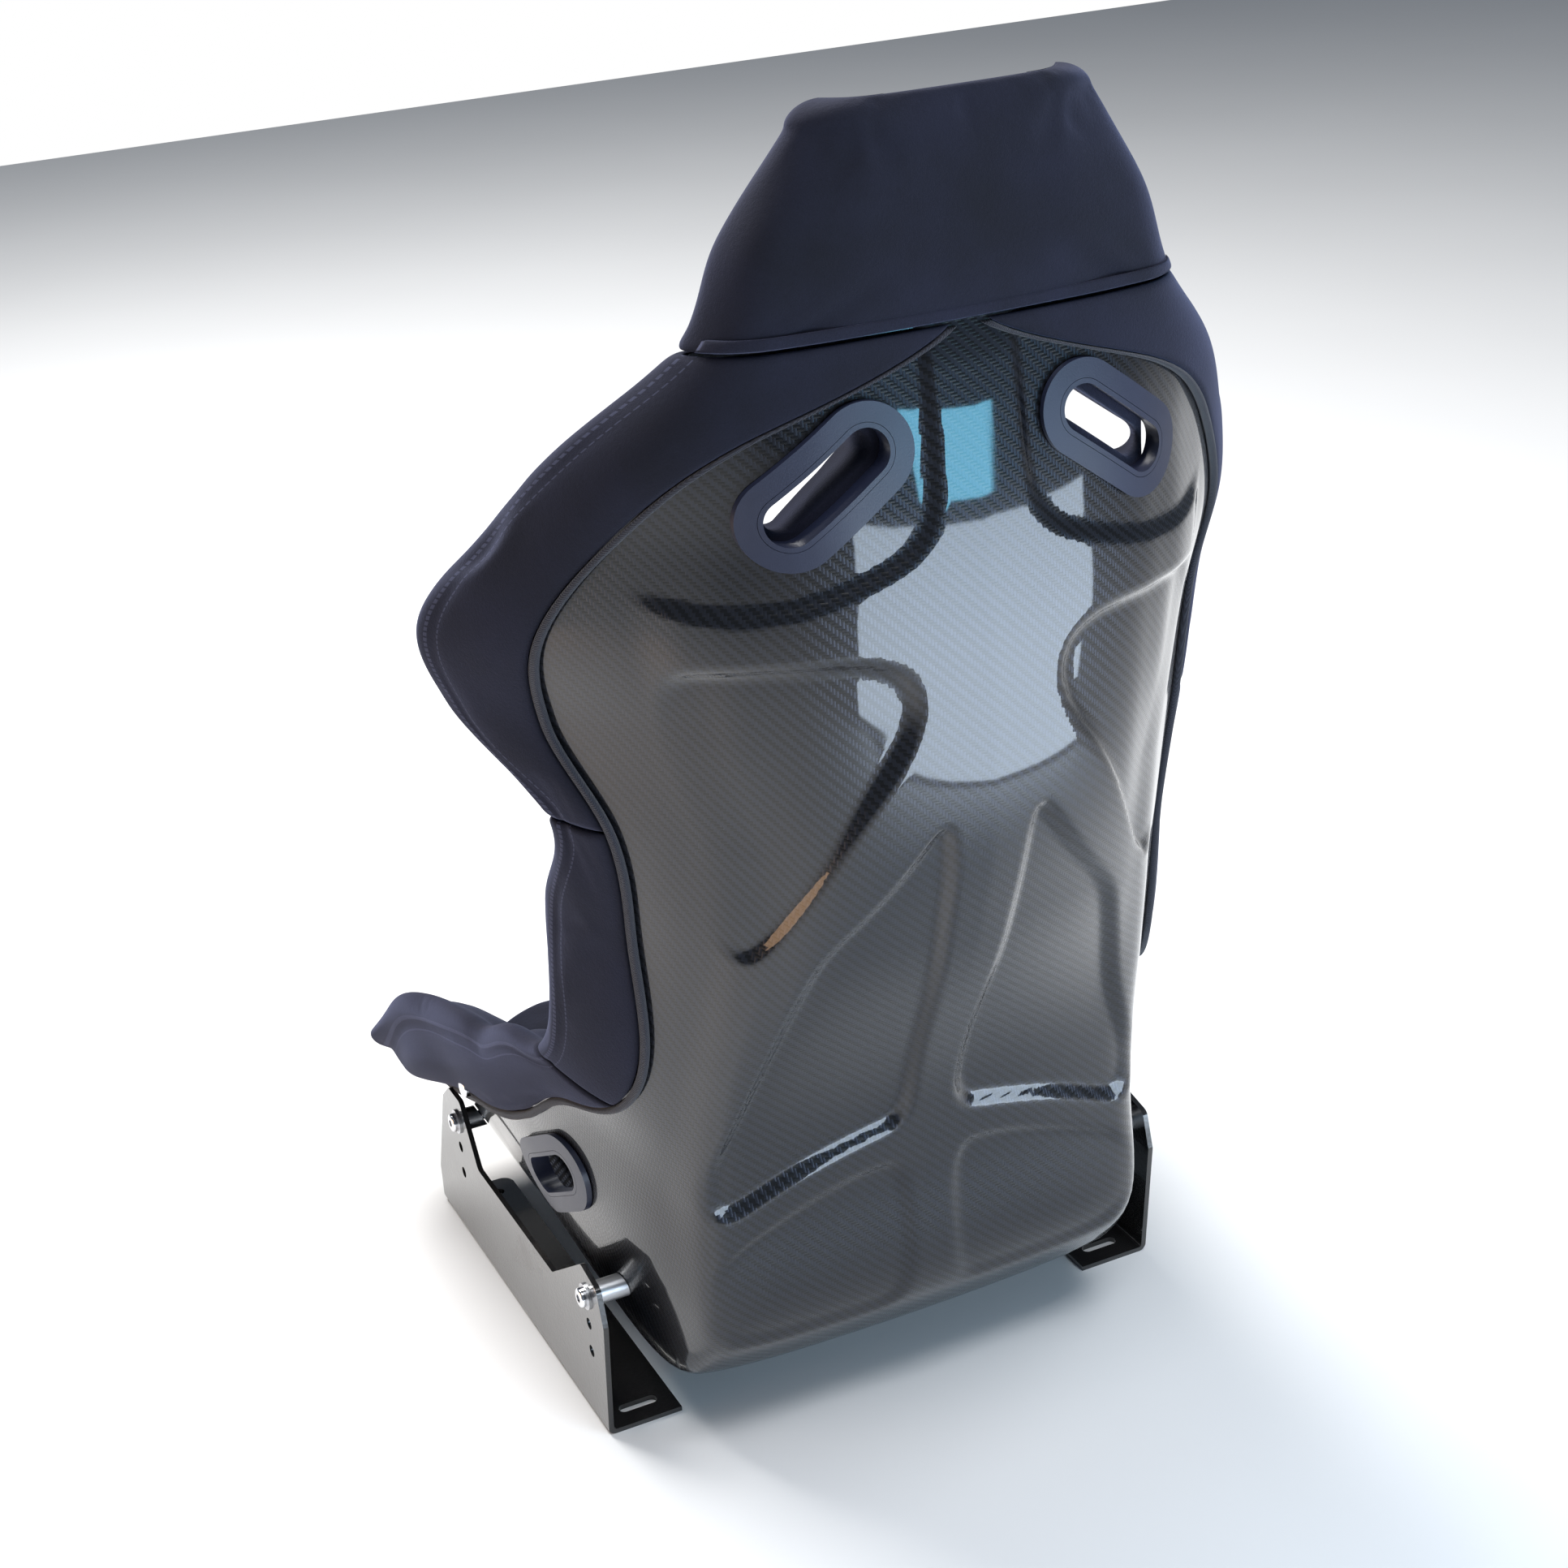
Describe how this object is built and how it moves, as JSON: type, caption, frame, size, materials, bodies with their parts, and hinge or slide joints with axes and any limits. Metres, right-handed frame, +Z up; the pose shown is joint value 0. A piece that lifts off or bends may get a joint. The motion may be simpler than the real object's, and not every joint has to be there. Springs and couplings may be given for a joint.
{
  "type": "racing seat",
  "caption": "Fixed-back bucket seat: a carbon shell with padded covers, harness slots and folded side-mount brackets.",
  "frame": {"origin": "centre of the four floor slots, on the underside of the bracket flanges", "axes": "+Z up, the occupant faces -Y, +X is the occupant's left"},
  "size_m": [0.5926, 0.6413, 0.9624],
  "materials": {
    "carbon": "clear-coated 2x2 twill carbon laminate, high gloss",
    "cover_fabric": "dark navy velour over foam",
    "cushion_fabric": "dark navy velour over foam",
    "binding": "woven edge binding",
    "bezel": "moulded, satin dark blue-black",
    "backing": "moulded, satin black",
    "bracket_paint": "gloss black powder coat on folded steel",
    "bright_metal": "bright plated",
    "plated_steel": "zinc plated",
    "insert_alloy": "machined alloy",
    "hook_strip": "woven hook-and-loop"
  },
  "bodies": {
    "root": {"back_cushion": "cushion_fabric", "bolt_washers": "plated_steel", "bracket_spacers": "plated_steel", "carbon_shell": "carbon", "crotch_strap_slot_backing_plate": "backing", "crotch_strap_slot_bezel": "bezel", "crotch_strap_slot_sleeve": "bezel", "head_cushion": "cushion_fabric", "head_hood": "cover_fabric", "hood_hem_binding": "binding", "hood_top_panel": "cover_fabric", "hook_and_loop_strips": "hook_strip", "left_edge_binding": "binding", "left_harness_slot_backing_plate": "backing", "left_harness_slot_bezel": "bezel", "left_harness_slot_sleeve": "bezel", "left_lap_belt_slot_backing_plate": "backing", "left_lap_belt_slot_bezel": "bezel", "left_lap_belt_slot_sleeve": "bezel", "left_side_bracket": "bracket_paint", "left_thigh_bolster": "cover_fabric", "left_waist_bolster": "cover_fabric", "left_wing_cover": "cover_fabric", "lumbar_cushion": "cushion_fabric", "press_studs": "bright_metal", "right_edge_binding": "binding", "right_harness_slot_backing_plate": "backing", "right_harness_slot_bezel": "bezel", "right_harness_slot_sleeve": "bezel", "right_lap_belt_slot_backing_plate": "backing", "right_lap_belt_slot_bezel": "bezel", "right_lap_belt_slot_sleeve": "bezel", "right_side_bracket": "bracket_paint", "right_thigh_bolster": "cover_fabric", "right_waist_bolster": "cover_fabric", "right_wing_cover": "cover_fabric", "seat_cushion": "cushion_fabric", "shell_inserts": "insert_alloy", "shoulder_cushion": "cushion_fabric", "side_bolts": "bright_metal"}
  },
  "joints": []
}
